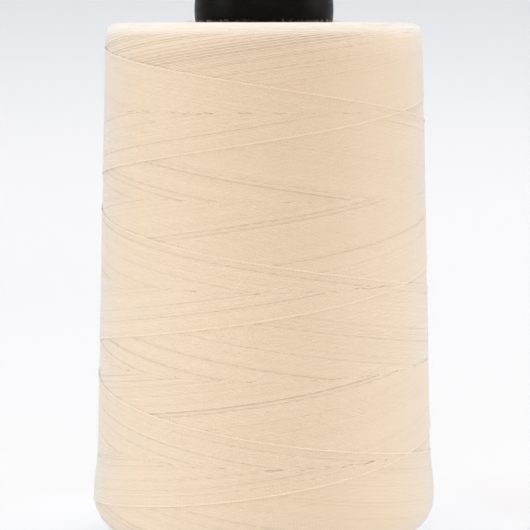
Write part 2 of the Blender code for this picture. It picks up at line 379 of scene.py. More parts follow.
def cut_catch(tube):
    """Cut the slit that holds the thread's tail into the foot's front edge."""
    foot_radius = cone_radius(FOOT_HEIGHT) + FOOT_LIP
    size = (CATCH_WIDTH, 2 * (FOOT_LIP - CATCH_FLOOR), 2 * CATCH_HEIGHT)
    shape = bmesh.new()
    block(shape, size, (0.0, -foot_radius, 0.0))
    cutter = new_object("catch_cutter", shape)
    cut = tube.modifiers.new("catch", "BOOLEAN")
    cut.operation = "DIFFERENCE"
    cut.object = cutter
    ready = tube.evaluated_get(bpy.context.evaluated_depsgraph_get())
    whole = tube.data
    tube.data = bpy.data.meshes.new_from_object(ready)
    tube.modifiers.clear()
    bpy.data.meshes.remove(whole)
    bpy.data.objects.remove(cutter)


def make_tube(surface):
    """The moulded tube with its nose, bore sleeve, foot and thread catch."""
    tube = new_object("tube_moulding", turned(tube_outline(), TUBE_SEGMENTS))
    cut_catch(tube)
    tube.data.shade_smooth()
    tube.data.set_sharp_from_angle(angle=math.radians(SHARP_DEG))
    dress(tube, surface, ("core_tube",))


def make_ribs(surface):
    """Ribs between the bore's sleeve and the nose wall."""
    inner = BORE_RADIUS + SLEEVE_WALL - RIB_ROOT
    outer = NECK_DIAMETER / 2 - TUBE_WALL + RIB_ROOT
    low = TUBE_TOP - SLEEVE_DEPTH + SLEEVE_WALL
    high = TUBE_TOP - WEB_THICKNESS + RIB_ROOT
    size = (outer - inner, RIB_THICKNESS, high - low)
    centre = ((inner + outer) / 2, 0.0, (low + high) / 2)
    shape = bmesh.new()
    for index in range(RIB_COUNT):
        block(shape, size, centre, math.tau * index / RIB_COUNT)
    bmesh.ops.bevel(shape, geom=shape.edges[:], offset=RIB_EDGE * MM, affect="EDGES", segments=2,
                    profile=0.5, material=-1)
    ribs = new_object("nose_ribs", shape)
    ribs.data.shade_smooth()
    dress(ribs, surface)


# ---------------------------------------------------------------- strips of thread

def flat_strips(counts, across):
    """Flat strips side by side, one for each count of points along, cut from one long grid."""
    total = sum(counts)
    shape = bmesh.new()
    bmesh.ops.create_grid(shape, x_segments=total - 1, y_segments=across - 1, size=1.0)
    lasts = set((numpy.cumsum(counts) - 1).tolist())
    joins = [face for face in shape.faces if grid_column(face, total) in lasts]
    bmesh.ops.delete(shape, geom=joins, context="FACES")
    return shape


def grid_column(face, total):
    """Column of a face in the long grid, whose points run from -1 to 1."""
    return round((min(vert.co.x for vert in face.verts) + 1) / 2 * (total - 1))


def lay_strips(name, paths, section, width):
    """Bend one strip on to each path (points, normals, tone) and raise it to the section."""
    counts = [len(points) for points, normals, tone in paths]
    total = sum(counts)
    strips = new_object(name, flat_strips(counts, len(section)))
    mesh = strips.data
    place = numpy.empty(len(mesh.vertices) * 3, dtype=numpy.float32)
    mesh.vertices.foreach_get("co", place)
    place = place.reshape(-1, 3)
    column = numpy.rint((place[:, 0] + 1) / 2 * (total - 1)).astype(int)
    row = numpy.rint((place[:, 1] + 1) / 2 * (len(section) - 1)).astype(int)

    points = numpy.concatenate([path[0] for path in paths])
    normals = numpy.concatenate([path[1] for path in paths])
    sides = numpy.concatenate([side_of(path[0], path[1]) for path in paths])
    lengths = numpy.concatenate([run_length(path[0]) for path in paths])
    tones = numpy.concatenate([numpy.full(len(path[0]), path[2]) for path in paths])
    share, rise = numpy.array(section).T
    bent = points[column] + sides[column] * (share[row] * width)[:, None]
    bent += normals[column] * rise[row][:, None]
    mesh.vertices.foreach_set("co", (bent * MM).astype(numpy.float32).ravel())

    corner = numpy.empty(len(mesh.loops), dtype=numpy.int32)
    mesh.loops.foreach_get("vertex_index", corner)
    layout = numpy.stack((lengths[column[corner]], row[corner] / (len(section) - 1)), axis=1)
    mesh.uv_layers.new(name="thread").data.foreach_set("uv", layout.astype(numpy.float32).ravel())
    tone = mesh.attributes.new("strand_tone", "FLOAT", "POINT")
    tone.data.foreach_set("value", tones[column].astype(numpy.float32))
    mesh.shade_smooth()
    mesh.update()
    return strips


def side_of(points, normals):
    """Direction across a path, in the surface."""
    run = numpy.gradient(points, axis=0)
    side = numpy.cross(normals, run)
    return side / numpy.linalg.norm(side, axis=1)[:, None]


def run_length(points):
    """Length of a path up to each of its points."""
    steps = numpy.linalg.norm(numpy.diff(points, axis=0), axis=1)
    return numpy.concatenate(([0.0], numpy.cumsum(steps)))


# ---------------------------------------------------------------- the winding

class Surface:
    """Profile of the thread surface, from the top face over both edges to the base.

    Every place on it has a distance along the profile, with its radius, height and
    outward normal.
    """

    def __init__(self):
        edge = TOP_DIAMETER / 2 - TOP_EDGE_RADIUS
        points = [(edge - FOLD_OVER * (1 - i / FOLD_STEPS), PACKAGE_TOP) for i in range(FOLD_STEPS)]
        points += arc((edge, PACKAGE_TOP - TOP_EDGE_RADIUS), TOP_EDGE_RADIUS, 90, 4, TOP_EDGE_STEPS)
        high = PACKAGE_TOP - TOP_EDGE_RADIUS
        low = PACKAGE_BASE + SHOULDER_RADIUS
        points += [(package_radius(z), z) for z in numpy.linspace(high, low, SIDE_STEPS)]
        centre = (package_radius(low) - SHOULDER_RADIUS, low)
        points += arc(centre, SHOULDER_RADIUS, -2, -90, SHOULDER_STEPS)
        profile = numpy.array(points)
        steps = numpy.linalg.norm(numpy.diff(profile, axis=0), axis=1)
        self.distance = numpy.concatenate(([0.0], numpy.cumsum(steps)))
        self.radius, self.height = profile.T
        run = numpy.gradient(profile, self.distance, axis=0)
        run /= numpy.linalg.norm(run, axis=1)[:, None]
        self.out = -run[:, 1]
        self.up = run[:, 0]
        self.length = float(self.distance[-1])
        side_start = FOLD_OVER + TOP_EDGE_RADIUS * math.pi / 2
        self.top_reversal = side_start + TOP_REVERSAL - TOP_EDGE_RADIUS
        self.base_reversal = self.length - BASE_REVERSAL

    def place(self, along, angle, lift):
        """Points and normals at distances along the profile and angles from the front."""
        out = numpy.interp(along, self.distance, self.out)
        up = numpy.interp(along, self.distance, self.up)
        radius = numpy.interp(along, self.distance, self.radius) + out * lift
        height = numpy.interp(along, self.distance, self.height) + up * lift
        points = numpy.stack((radius * numpy.sin(angle), -radius * numpy.cos(angle), height), axis=1)
        normals = numpy.stack((out * numpy.sin(angle), -out * numpy.cos(angle), up), axis=1)
        return points, normals


def reversal_swing(age):
    """How gently a strand of the last layer reverses; the guide's stroke is longest midway."""
    quick = smooth_step((age - QUICK_FROM) / QUICK_EASE) * smooth_step((1.0 - age) / QUICK_EASE)
    return SLOW_REVERSAL - (SLOW_REVERSAL - QUICK_REVERSAL) * quick


class Stroke:
    """Path of the thread guide between its two reversals, against the cone's turning."""

    def __init__(self, surface, age):
        self.swing = reversal_swing(age)
        self.scale = PITCH / math.tau
        self.start = surface.top_reversal - (SLOW_REVERSAL - self.swing) * self.scale
        self.end = surface.base_reversal + (SLOW_REVERSAL - self.swing) * self.scale
        self.end = min(self.end, surface.length)
        reach = (self.end - self.start) / self.scale / 2 + self.swing
        self.turn = 2 * math.sqrt(reach ** 2 - self.swing ** 2)

    def along(self, turn):
        """Distance along the profile after the cone has turned so far from the top reversal."""
        near_top = numpy.sqrt(turn ** 2 + self.swing ** 2) - self.swing
        near_base = numpy.sqrt((self.turn - turn) ** 2 + self.swing ** 2) - self.swing
        upper = turn < self.turn / 2
        return numpy.where(upper, self.start + near_top * self.scale, self.end - near_base * self.scale)


def uneven(rng, size, group):
    """A height for each strand that wanders up and down every few strands."""
    knots = numpy.arange(0, STRANDS + group, group)
    return numpy.interp(numpy.arange(STRANDS), knots, [rng.uniform(-size, size) for _ in knots])


def groove_depth(grooves, half, number):
    """How far a strand lies low in one half turn, in millimetres.

    Old strands that one half turn shows at the back are those that the next shows in front.
    """
    shallow, deep = GROOVE_SINK
    behind = [groove for groove in sum(grooves[half + 1:half + 2], ()) if groove[0] > BACK_SHARE]
    for share, strength in sum(grooves[half:half + 1], ()) + tuple(behind):
        if round(share * STRANDS) == number:
            return shallow + (deep - shallow) * strength
    return 0.0


def furrow_depth(number):
    """How far a strand lies low near the top edge, in millimetres."""
    shallow, deep = GROOVE_SINK
    depth = 0.0
    for share, strength in TOP_FURROWS:
        if number == round(share * STRANDS):
            depth = shallow + (deep - shallow) * strength
        elif number == round(share * STRANDS) + 1:
            depth = -FURROW_RISE
    return depth


def meeting(stroke, newest, total):
    """Turn at which a strand meets the newest one of the other way; their turns add up to total."""
    low = max(total - newest.turn, 0.0)
    high = min(total + MEETING_MARGIN, stroke.turn)
    if high <= low:
        return low
    turn = numpy.linspace(low, high, MEETING_STEPS)
    return float(numpy.interp(0.0, stroke.along(turn) - newest.along(total - turn), turn))


def last_layer(surface):
    """Paths of every stretch of the last layer that no later strand covers.

    Counting back from the last strand laid, the rising strand of age share a is
    covered by newer falling ones, and shows for the first 1 - a of each half turn
    below the top; the falling strand shows for the rest of it. Where the two meet,
    the newer strands leave an uneven seam round the cone.
    """
    rng = random.Random(LAYER_SEED)
    levels = sum(uneven(rng, size, group) for size, group in UNEVENNESS)
    families = ((-1, RISING_APEX_DEG, RISING_GROOVES, []), (1, FALLING_APEX_DEG, FALLING_GROOVES, []))
    seam_turn = math.radians(RISING_APEX_DEG - FALLING_APEX_DEG) / 2
    newest = Stroke(surface, 0.0)
    last = []
    for number in range(STRANDS):
        age = number / STRANDS
        stroke = Stroke(surface, age)
        shift = math.tau * (age + rng.uniform(-SIDE_WANDER, SIDE_WANDER) / STRANDS)
        tone = rng.random()
        for half in range(math.ceil(stroke.turn / math.pi)):
            seam = half * math.pi + seam_turn
            for way, apex_deg, grooves, paths in families:
                opening = math.radians(rng.uniform(*SEAM_OPENING_DEG)) * (1 - SEAM_CLOSING * age)
                if way < 0:
                    start = seam + opening
                    end = meeting(stroke, newest, 2 * (seam + math.pi * (1 - age)))
                    dives = (SEAM_DIVE, COVERED_DIVE)
                else:
                    start = meeting(stroke, newest, 2 * (seam + math.pi * age))
                    end = seam + math.pi - opening
                    dives = (COVERED_DIVE, SEAM_DIVE)
                if half == 0 and way < 0:
                    start = 0.0
                if half == 0 and way > 0:
                    start = max(start - seam_turn, 0.0)
                level = LAYER_RELIEF * (1 - age) + levels[number] - groove_depth(grooves, half, number)
                if half == 0 and way < 0:
                    level -= furrow_depth(number)
                if number == 0:
                    level += NEWEST_RISE
                apex = math.radians(apex_deg) - shift
                path = strand_run(surface, stroke, start, end, apex, way, level, dives)
                if path and number == 0:
                    # Painted highlight: the last strand gets a paler tone.
                    last.append((*path, LAST_HIGHLIGHT_TONE))
                elif path:
                    paths.append((*path, tone))
    return families[0][3], families[1][3], last


def strand_run(surface, stroke, start, end, apex, way, level, dives):
    """One stretch of thread, with its ends tucked under the strands that cross it."""
    tuck = math.radians(TUCK_DEG)
    start = max(start - tuck, 0.0)
    end = min(end + tuck, stroke.turn)
    if end - start < math.radians(STEP_DEG):
        return None
    count = max(3, math.ceil((end - start) / math.radians(STEP_DEG)) + 1)
    turn = numpy.linspace(start, end, count)
    first = numpy.clip(1 - (turn - start) / tuck, 0, 1) * (start > 0)
    last = numpy.clip(1 - (end - turn) / tuck, 0, 1) * (end < stroke.turn)
    lift = level - dives[0] * first - dives[1] * last
    return surface.place(stroke.along(turn), apex + way * turn, lift)


def edge_arcs(surface, at_top, count, seed):
    """Reversal bends of earlier layers, which show on a rounded edge beyond the last layer."""
    rng = random.Random(seed)
    scale = PITCH / math.tau
    newest = Stroke(surface, 0.0)
    if at_top:
        first_apex = math.radians(RISING_APEX_DEG)
    else:
        first_apex = math.radians(FALLING_APEX_DEG) + newest.turn
    paths = []
    for _ in range(count):
        apex = rng.uniform(0, math.tau)
        age = (first_apex - apex) / math.tau % 1.0
        longer = (SLOW_REVERSAL - reversal_swing(age)) * scale
        reach = rng.uniform(*BEND_REACH)
        count_along = max(5, math.ceil(2 * reach / math.radians(STEP_DEG)) + 1)
        turn = numpy.linspace(-reach, reach, count_along)
        bend = (numpy.sqrt(turn ** 2 + QUICK_REVERSAL ** 2) - QUICK_REVERSAL) * scale
        bend *= rng.uniform(*BEND_SHARE)
        if at_top:
            limit = surface.top_reversal - longer
            along = rng.uniform(BEND_TOP_GAP, limit + BEND_OVERLAP) + bend
            under = numpy.clip(along - limit, 0, 1)
        else:
            limit = min(surface.base_reversal + longer, surface.length - BEND_BASE_LIMIT)
            along = rng.uniform(limit - BEND_OVERLAP, surface.length - BEND_BASE_GAP) - bend
            under = numpy.clip(limit - along, 0, 1)
        share = numpy.abs(turn) / reach
        lift = rng.uniform(*BEND_LEVEL) - BEND_END_SINK * share ** 6 - BEND_COVERED_SINK * under
        along = numpy.clip(along, 0, surface.length)
        paths.append((*surface.place(along, apex + turn, lift), rng.random()))
    return paths


def end_arcs(height, up, inner, outer, seed):
    """Reversal arcs of the inner layers, lying side by side on an end of the package."""
    rng = random.Random(seed)
    rings = int((outer - inner) / SPACING)
    paths = []
    for ring in range(rings + 1):
        middle = inner + (ring + 0.5) * (outer - inner) / (rings + 1)
        pieces = max(4, round(middle / ARC_RADIUS))
        first = rng.uniform(0, math.tau)
        for piece in range(pieces):
            start = first + math.tau * piece / pieces
            start += rng.uniform(-ARC_START_WANDER, ARC_START_WANDER)
            sweep = math.tau / pieces * rng.uniform(*ARC_SWEEP)
            count = max(5, math.ceil(sweep * middle / ARC_STEP))
            share = numpy.linspace(-1, 1, count)
            angle = start + sweep * (share + 1) / 2
            radius = middle + rng.uniform(-ARC_WANDER, ARC_WANDER)
            radius = radius + ARC_BOW * share ** 2 * rng.uniform(*ARC_BOW_SHARE)
            level = height + up * (rng.uniform(*ARC_LEVEL) - ARC_END_SINK * share ** 4)
            points = numpy.stack((radius * numpy.sin(angle), -radius * numpy.cos(angle), level), axis=1)
            normals = numpy.tile((0.0, 0.0, float(up)), (count, 1))
            paths.append((points, normals, rng.random()))
    return paths


def fibre(rng, angle, radius, height, out, up):
    """Path of one loose fibre, rooted in the thread and curling over."""
    root = Vector((radius * math.sin(angle), -radius * math.cos(angle), height))
    normal = Vector((out * math.sin(angle), -out * math.cos(angle), up))
    tilt = rng.uniform(-FIBRE_TILT, FIBRE_TILT)
    along = Vector((math.cos(angle), math.sin(angle), tilt)).normalized()
    if rng.random() < 0.5:
        along.negate()
    reach = rng.uniform(*FIBRE_REACH) * rng.uniform(*FIBRE_REACH_SHARE)
    rise = rng.uniform(*FIBRE_RISE)
    curl = rng.uniform(*FIBRE_CURL)
    steps = [i / FIBRE_STEPS for i in range(FIBRE_STEPS + 1)]
    points = [root + along * reach * step + normal * rise * math.sin(step * curl) for step in steps]
    return numpy.array(points), numpy.tile(normal, (FIBRE_STEPS + 1, 1)), rng.random()


def loose_fibres(surface):
    """Paths of the fibres all over the thread, more of them on its rim and round the neck."""
    rng = random.Random(FIBRE_SEED)
    spread = surface.length * FIBRE_SPREAD
    spots = [(rng.uniform(0.0, spread), rng.uniform(0, math.tau)) for _ in range(FIBRES)]
    spots += [(rng.uniform(0.0, RIM_SPREAD), rng.uniform(0, math.tau)) for _ in range(RIM_FIBRES)]
    paths = []
    for along, angle in spots:
        out = float(numpy.interp(along, surface.distance, surface.out))
        up = float(numpy.interp(along, surface.distance, surface.up))
        radius = float(numpy.interp(along, surface.distance, surface.radius)) + FIBRE_ROOT * out
        height = float(numpy.interp(along, surface.distance, surface.height)) + FIBRE_ROOT * up
        paths.append(fibre(rng, angle, radius, height, out, up))
    for _ in range(NECK_FIBRES):
        angle = rng.uniform(0, math.tau)
        radius = cone_radius(PACKAGE_TOP) + rng.uniform(*NECK_SPREAD)
        paths.append(fibre(rng, angle, radius, PACKAGE_TOP + NECK_ROOT, 0.0, 1.0))
    return paths


def make_ground(surface, material):
    """Body of the package just under its outer strands, seen only between them."""
    outline = [(cone_radius(PACKAGE_TOP) + GROUND_GAP, PACKAGE_TOP - GROUND_SINK)]
    for index in range(0, len(surface.distance), GROUND_STRIDE):
        outline.append((surface.radius[index] - GROUND_SINK * surface.out[index],
                        surface.height[index] - GROUND_SINK * surface.up[index]))
    outline.append((cone_radius(PACKAGE_BASE) + GROUND_GAP, PACKAGE_BASE + GROUND_SINK))
    ground = new_object("package_ground", turned(outline, GROUND_SEGMENTS))
    ground.data.shade_smooth()
    dress(ground, material, ("wound_package",))


def make_thread():
    """The whole package: last layer, edges, end faces, loose fibres and the body under them."""
    surface = Surface()
    yarn = thread_material(twist_group())
    rising, falling, last = last_layer(surface)
    top_edge = edge_arcs(surface, True, TOP_BENDS, TOP_EDGE_SEED)
    base_edge = edge_arcs(surface, False, BASE_BENDS, BASE_EDGE_SEED)
    top_inner = cone_radius(PACKAGE_TOP) + END_INNER_GAP
    top_outer = TOP_DIAMETER / 2 - TOP_EDGE_RADIUS - FOLD_OVER + TOP_END_OVERLAP
    top_end = end_arcs(PACKAGE_TOP, 1, top_inner, top_outer, TOP_END_SEED)
    base_inner = cone_radius(PACKAGE_BASE) + END_INNER_GAP
    base_outer = float(surface.radius[-1]) + BASE_END_OVERLAP
    base_end = end_arcs(PACKAGE_BASE, -1, base_inner, base_outer, BASE_END_SEED)
    for name, paths in (("strands_rising", rising), ("strands_falling", falling)):
        strips = lay_strips(name, paths, STRAND_SECTION, STRAND_WIDTH)
        dress(strips, yarn, ("outer_winding",))
    for name, paths in (("strands_top_edge", top_edge), ("strands_base_edge", base_edge),
                        ("strands_top_end", top_end), ("strands_base_end", base_end)):
        dress(lay_strips(name, paths, STRAND_SECTION, STRAND_WIDTH), yarn)
    dress(lay_strips("last_strand", last, LAST_SECTION, LAST_WIDTH), yarn)
    fuzz = lay_strips("thread_fuzz", loose_fibres(surface), FIBRE_SECTION, FIBRE_WIDTH)
    dress(fuzz, fuzz_material())
    make_ground(surface, ground_material())


# ---------------------------------------------------------------- materials

# Colours, from darkest to palest where there are two. Painted shade makes the thread darker higher up.
PALE_DYE = ((0.826, 0.640, 0.455), (0.906, 0.733, 0.542))
# Painted shade: the colours that the thread darkens to higher up.
SHADED_DYE = ((0.735, 0.546, 0.374), (0.815, 0.630, 0.451))
# Painted shade in the valleys of the ply's twist.
VALLEY_SHADE_COLOUR = (0.600, 0.425, 0.262)
# Painted highlight on the thread's top rim.
THREAD_RIM_HIGHLIGHT = (0.900, 0.820, 0.740)
# Painted shade: the body under the strands is darker than the thread.
SHADED_GROUND_COLOURS = ((0.64, 0.46, 0.28), (0.76, 0.56, 0.35))
# Painted highlight on the top rim of the body under the strands.
GROUND_RIM_HIGHLIGHT = (0.88, 0.78, 0.67)
FIBRE_COLOURS = ((0.82, 0.70, 0.56), (0.92, 0.84, 0.74))
PLASTIC_COLOURS = ((0.0035, 0.0031, 0.0028), (0.0060, 0.0053, 0.0048))
DUST_COLOUR = (0.35, 0.30, 0.26)
SHEEN_TINT = (0.86, 0.93, 1.0, 1.0)

# Where the thread's colour changes, in millimetres: heights and depths below the top between which
# painted shade darkens it higher up and eases off under the rim, and depths below the top and radii of a
# painted highlight on the top rim. The two single shares are the largest that the painted shade and the
# painted highlight reach.
PAINTED_SHADE_HEIGHTS = (55.0, 125.0)
MOST_PAINTED_SHADE = 0.5
SHADE_LIFTED_DEPTHS = (9.0, 3.0)
RIM_HIGHLIGHT_DEPTHS = (4.2, 0.8)
RIM_HIGHLIGHT_RADII = (30.5, 35.5)
MOST_RIM_HIGHLIGHT = 0.70

# The ply's twist, and how much each cause changes the colour of the thread or plastic.
PLY_TURNS_PER_MM = 1.1
PLY_SLANT = 0.9
PLY_START_TURNS = 9.0
TONE_SHARE = 0.40
CLOUD_SHARE = 0.25
# The valley share is painted shade in the twist's valleys.
VALLEY_SHADE_SHARE = 0.17
DUST_SHARE = 0.06


class Nodes:
    """Adds nodes to a material or group tree and links them."""

    def __init__(self, tree):
        self.tree = tree

    def add(self, kind, **settings):
        """Add a node and set its properties."""
        node = self.tree.nodes.new(kind)
        for name, value in settings.items():
            setattr(node, name, value)
        return node

    def feed(self, socket, value):
        """Set a socket to a number or colour, or link another socket to it."""
        if isinstance(value, (int, float)):
            socket.default_value = value
        elif isinstance(value, tuple):
            socket.default_value = (*value, 1.0)
        else:
            self.tree.links.new(value, socket)

    def math(self, operation, first, second):
        """Result of a sum, product or other operation on two values."""
        node = self.add("ShaderNodeMath", operation=operation)
        self.feed(node.inputs[0], first)
        self.feed(node.inputs[1], second)
        return node.outputs[0]

    def vary(self, base, value, share):
        """A base value plus a share of another value."""
        return self.math("ADD", base, self.math("MULTIPLY", value, share))

    def separate(self, vector):
        """Node whose outputs X, Y and Z are those of a vector."""
        node = self.add("ShaderNodeSeparateXYZ")
        self.feed(node.inputs[0], vector)
        return node

    def sine(self, value):
        """Sine of a value in radians."""
        node = self.add("ShaderNodeMath", operation="SINE")
        self.feed(node.inputs[0], value)
        return node.outputs[0]

    def mix(self, share, first, second):
        """Colour that is a share of the way from a first to a second."""
        node = self.add("ShaderNodeMix", data_type="RGBA")
        self.feed(node.inputs["Factor"], share)
        self.feed(node.inputs[6], first)
        self.feed(node.inputs[7], second)
        return node.outputs[2]

    def noise(self, vector, scale, detail):
        """Value from 0 to 1 that drifts from place to place."""
        node = self.add("ShaderNodeTexNoise")
        node.inputs["Scale"].default_value = scale
        node.inputs["Detail"].default_value = detail
        self.feed(node.inputs["Vector"], vector)
        return node.outputs["Fac"]

    def ramp(self, value, start, end, highest=1.0):
        """Smooth climb from 0 to a highest value, while another value goes from start to end."""
        node = self.add("ShaderNodeMapRange", interpolation_type="SMOOTHSTEP")
        node.inputs["From Min"].default_value = start
        node.inputs["From Max"].default_value = end
        node.inputs["To Max"].default_value = highest
        self.feed(node.inputs["Value"], value)
        return node.outputs["Result"]

    def from_axis(self, place):
        """Square of the distance from the Z axis, in square metres, of a separated place."""
        across, deep = place.outputs["X"], place.outputs["Y"]
        return self.math("ADD", self.math("MULTIPLY", across, across), self.math("MULTIPLY", deep, deep))

    def bump(self, height, strength, distance):
        """Normal tilted by a height, where a height of 1 is a distance in metres."""
        node = self.add("ShaderNodeBump")
        node.inputs["Strength"].default_value = strength
        node.inputs["Distance"].default_value = distance
        self.feed(node.inputs["Height"], height)
        return node.outputs["Normal"]


def new_material(name):
    """A material, its Principled BSDF and its nodes."""
    made = bpy.data.materials.new(name)
    made.use_nodes = True
    return made, made.node_tree.nodes["Principled BSDF"], Nodes(made.node_tree)


def twist_group():
    """Height of a twisted thread, from its length in millimetres, share across and start in turns."""
    tree = bpy.data.node_groups.new("thread_twist", "ShaderNodeTree")
    tree.interface.new_socket("Coordinates", in_out="INPUT", socket_type="NodeSocketVector")
    tree.interface.new_socket("Turns per mm", in_out="INPUT", socket_type="NodeSocketFloat")
    tree.interface.new_socket("Start", in_out="INPUT", socket_type="NodeSocketFloat")
    tree.interface.new_socket("Height", in_out="OUTPUT", socket_type="NodeSocketFloat")
    nodes = Nodes(tree)
    entry = nodes.add("NodeGroupInput")
    leave = nodes.add("NodeGroupOutput")
    split = nodes.separate(entry.outputs["Coordinates"])
    along = nodes.math("MULTIPLY", split.outputs["X"], entry.outputs["Turns per mm"])
    slant = nodes.vary(along, split.outputs["Y"], PLY_SLANT)
    begun = nodes.math("ADD", slant, entry.outputs["Start"])
    wave = nodes.sine(nodes.math("MULTIPLY", begun, math.tau))
    nodes.feed(leave.inputs["Height"], nodes.vary(0.5, wave, 0.5))
    return tree


def below_top(depth):
    """Height in metres at a depth in millimetres below the top of the thread."""
    return (PACKAGE_TOP - depth) * MM


def rim_highlight(nodes, place):
    """Share by which a painted highlight makes the thread at a separated place pale on the top rim."""
    start, end = RIM_HIGHLIGHT_DEPTHS
    inner, outer = RIM_HIGHLIGHT_RADII
    high = nodes.ramp(place.outputs["Z"], below_top(start), below_top(end), MOST_RIM_HIGHLIGHT)
    wide = nodes.ramp(nodes.from_axis(place), (inner * MM) ** 2, (outer * MM) ** 2)
    return nodes.math("MULTIPLY", high, wide)


def thread_material(twist):
    """Matte ecru yarn: ply twist, uneven dye, painted shade in the twist and higher up, a painted rim
    highlight and a pale sheen at grazing angles.
    """
    made, shader, nodes = new_material("ecru_yarn")
    where = nodes.add("ShaderNodeTexCoord").outputs["Object"]
    uv = nodes.add("ShaderNodeUVMap", uv_map="thread").outputs["UV"]
    tone = nodes.add("ShaderNodeAttribute", attribute_name="strand_tone").outputs["Fac"]
    ply = nodes.add("ShaderNodeGroup", node_tree=twist)
    ply.inputs["Turns per mm"].default_value = PLY_TURNS_PER_MM
    nodes.feed(ply.inputs["Coordinates"], uv)
    nodes.feed(ply.inputs["Start"], nodes.math("MULTIPLY", tone, PLY_START_TURNS))
    twisted = ply.outputs["Height"]
    slubs = nodes.noise(where, scale=900.0, detail=2.0)
    clouds = nodes.noise(where, scale=60.0, detail=4.0)
    place = nodes.separate(where)
    height = place.outputs["Z"]
    shade = nodes.vary(nodes.math("MULTIPLY", tone, TONE_SHARE), clouds, CLOUD_SHARE)
    low, high = PAINTED_SHADE_HEIGHTS
    start, end = SHADE_LIFTED_DEPTHS
    # Painted shade: darker higher up, eased off again just below the rim.
    painted_shade = nodes.ramp(height, low * MM, high * MM, MOST_PAINTED_SHADE)
    shade_lifted_at_rim = nodes.ramp(height, below_top(start), below_top(end), MOST_PAINTED_SHADE)
    pale_dye = nodes.mix(shade, *PALE_DYE)
    shaded_dye = nodes.mix(shade, *SHADED_DYE)
    colour = nodes.mix(nodes.math("SUBTRACT", painted_shade, shade_lifted_at_rim), pale_dye, shaded_dye)
    # Painted shade in the valleys of the twist.
    valley_shade = nodes.math("MULTIPLY", nodes.math("SUBTRACT", 1.0, twisted), VALLEY_SHADE_SHARE)
    valley_shaded_colour = nodes.mix(valley_shade, colour, VALLEY_SHADE_COLOUR)
    # Painted highlight: the top rim is paled.
    highlighted = nodes.mix(rim_highlight(nodes, place), valley_shaded_colour, THREAD_RIM_HIGHLIGHT)
    nodes.feed(shader.inputs["Base Color"], highlighted)
    nodes.feed(shader.inputs["Roughness"], nodes.vary(0.55, slubs, 0.2))
    shader.inputs["Specular IOR Level"].default_value = 0.55
    shader.inputs["Sheen Weight"].default_value = 1.0
    shader.inputs["Sheen Roughness"].default_value = 0.45
    shader.inputs["Sheen Tint"].default_value = SHEEN_TINT
    relief = nodes.vary(twisted, slubs, 0.6)
    nodes.feed(shader.inputs["Normal"], nodes.bump(relief, strength=0.22, distance=0.00006))
    return made


def ground_material():
    """Thread under the outer strands, in darker colours that are painted shade."""
    made, shader, nodes = new_material("ecru_yarn_shaded")
    where = nodes.add("ShaderNodeTexCoord").outputs["Object"]
    patches = nodes.noise(where, scale=400.0, detail=3.0)
    colour = nodes.mix(patches, *SHADED_GROUND_COLOURS)
    # Painted highlight: the top rim is paled.
    highlighted = nodes.mix(rim_highlight(nodes, nodes.separate(where)), colour, GROUND_RIM_HIGHLIGHT)
    nodes.feed(shader.inputs["Base Color"], highlighted)
    nodes.feed(shader.inputs["Roughness"], nodes.vary(0.8, patches, 0.15))
    shader.inputs["Specular IOR Level"].default_value = 0.15
    nodes.feed(shader.inputs["Normal"], nodes.bump(patches, strength=0.6, distance=0.0001))
    return made


def fuzz_material():
    """Pale single fibres."""
    made, shader, nodes = new_material("loose_fibre")
    where = nodes.add("ShaderNodeTexCoord").outputs["Object"]
    patches = nodes.noise(where, scale=800.0, detail=2.0)
    nodes.feed(shader.inputs["Base Color"], nodes.mix(patches, *FIBRE_COLOURS))
    nodes.feed(shader.inputs["Roughness"], nodes.vary(0.7, patches, 0.2))
    shader.inputs["Sheen Weight"].default_value = 0.3
    return made


def plastic_material():
    """Black moulded plastic: satin, with faint cloudiness, fine scuffs and a little lint dust."""
    made, shader, nodes = new_material("black_moulding")
    where = nodes.add("ShaderNodeTexCoord").outputs["Object"]
    stretch = nodes.add("ShaderNodeMapping")
    stretch.inputs["Scale"].default_value = (60.0, 60.0, 1400.0)
    nodes.feed(stretch.inputs["Vector"], where)
    scuffs = nodes.noise(stretch.outputs["Vector"], scale=1.0, detail=3.0)
    fine = nodes.noise(where, scale=2500.0, detail=2.0)
    clouds = nodes.noise(where, scale=90.0, detail=4.0)
    colour = nodes.mix(clouds, *PLASTIC_COLOURS)
    dust = nodes.math("MULTIPLY", nodes.math("GREATER_THAN", fine, 0.70), DUST_SHARE)
    nodes.feed(shader.inputs["Base Color"], nodes.mix(dust, colour, DUST_COLOUR))
    nodes.feed(shader.inputs["Roughness"], nodes.vary(0.26, scuffs, 0.2))
    shader.inputs["Specular IOR Level"].default_value = 0.05
    relief = nodes.vary(nodes.math("MULTIPLY", scuffs, 0.7), fine, 0.4)
    nodes.feed(shader.inputs["Normal"], nodes.bump(relief, strength=0.2, distance=0.00004))
    return made


# ---------------------------------------------------------------- studio

# In metres, and the focal length in pixels of a picture this many pixels across.
CAMERA_DISTANCE = 0.488
CAMERA_ASIDE = 0.00025
CAMERA_BELOW_TOP = 0.001
CAMERA_TILT_DEG = 6.83
CAMERA_NEAR = 0.01
CAMERA_FAR = 20.0
FOCAL_PX = 1986.0
FRAME_PX = 530.0
SENSOR_MM = 36.0

# The sweep's profile in millimetres, its paper's colours, and in metres the height over which painted
# shade darkens the paper up the wall and the radii between which painted light makes it paler towards the
# cone, against the cone's shadow.
FLOOR_RADIUS = 500.0
SWEEP_RADIUS = 1500.0
WALL_TOP = 2200.0
SWEEP_STEPS = 24
SWEEP_SEGMENTS = 96
FLOOR_COLOUR = (0.824, 0.812, 0.808)
SHADED_WALL_COLOUR = (0.625, 0.630, 0.652)
PAINTED_LIGHT_COLOUR = (0.884, 0.897, 0.945)
WALL_SHADE_CLIMB = 0.20
PAINTED_LIGHT_RADII = (0.100, 0.045)

